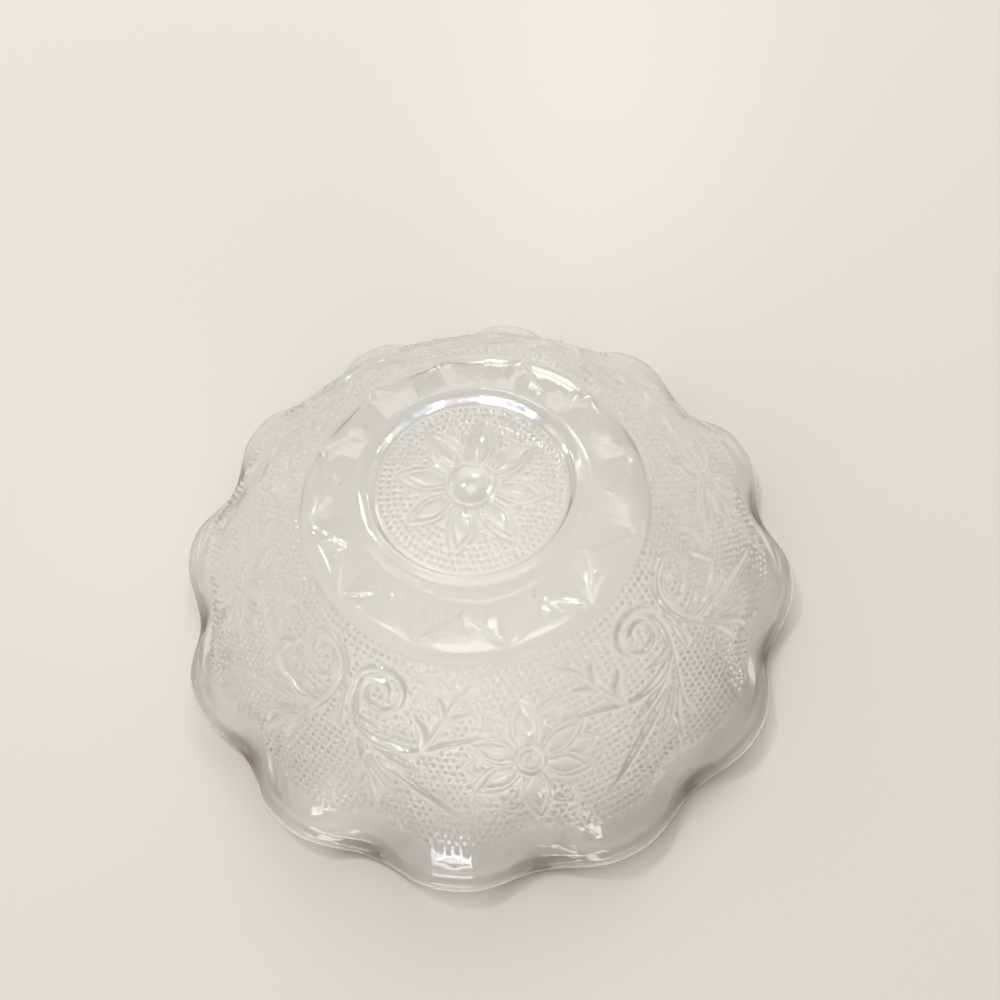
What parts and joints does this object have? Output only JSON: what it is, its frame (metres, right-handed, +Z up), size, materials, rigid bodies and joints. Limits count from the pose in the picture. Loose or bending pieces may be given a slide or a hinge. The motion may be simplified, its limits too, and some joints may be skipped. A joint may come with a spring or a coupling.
{
  "type": "glass bowl",
  "caption": "Clear pressed glass bowl with a crimped, wavy rim, a foot ring, a star collar and raised flowers and scrolls outside. It holds food, and lies rim down here.",
  "frame": {"origin": "on the axis, in the plane that the turned-over rim rests on", "axes": "+Z up along the axis, from the rim to the foot; +X through the middle of a lobe of the rim"},
  "size_m": [0.127, 0.127, 0.0397],
  "materials": {
    "clear_glass": "fire-polished, clear and colourless"
  },
  "bodies": {
    "root": {"bowl": "clear_glass"}
  },
  "joints": []
}
